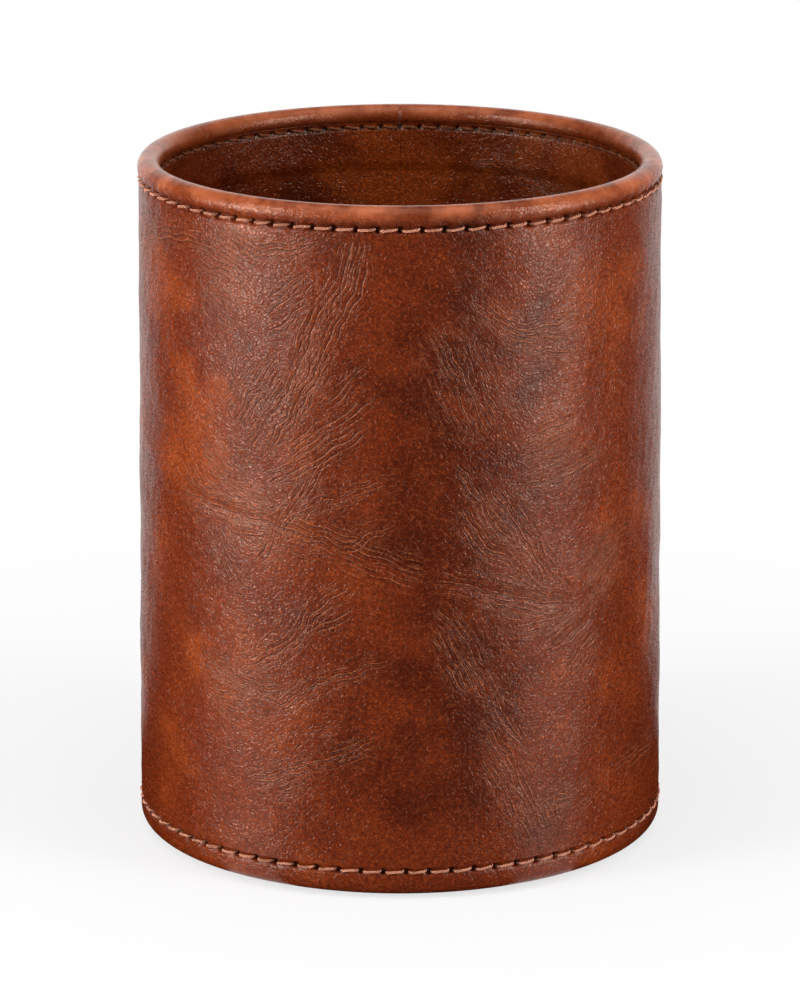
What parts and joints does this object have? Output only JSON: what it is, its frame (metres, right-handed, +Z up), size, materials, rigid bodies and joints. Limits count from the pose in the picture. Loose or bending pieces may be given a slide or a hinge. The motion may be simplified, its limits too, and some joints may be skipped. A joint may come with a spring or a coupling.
{
  "type": "pen pot",
  "caption": "Round leather pen pot, open at the top, with a rolled board core, a corded bead at the rim and lockstitched edges, for standing pens upright on a desk.",
  "frame": {"origin": "middle of the underside, on the surface that the pot stands on", "axes": "+Z up along the pot's axis; -Y is the front, and the joins of the leather are at the back, on the +Y side"},
  "size_m": [0.0818, 0.0818, 0.106],
  "materials": {
    "cover_leather": "waxed mottled brown, satin",
    "lining_leather": "waxed mottled brown, satin",
    "board": "matt greyboard",
    "filler_cord": "twisted cotton",
    "thread": "waxed twisted thread",
    "felt": "pressed felt, matt"
  },
  "bodies": {
    "root": {"outer_cover": "cover_leather", "lining": "lining_leather", "core_tube": "board", "rim_cord": "filler_cord", "base_board": "board", "base_infill": "board", "base_cover": "felt", "floor_leather": "lining_leather", "floor_card": "board", "rim_needle_thread": "thread", "rim_bobbin_thread": "thread", "base_needle_thread": "thread", "base_bobbin_thread": "thread"}
  },
  "joints": []
}
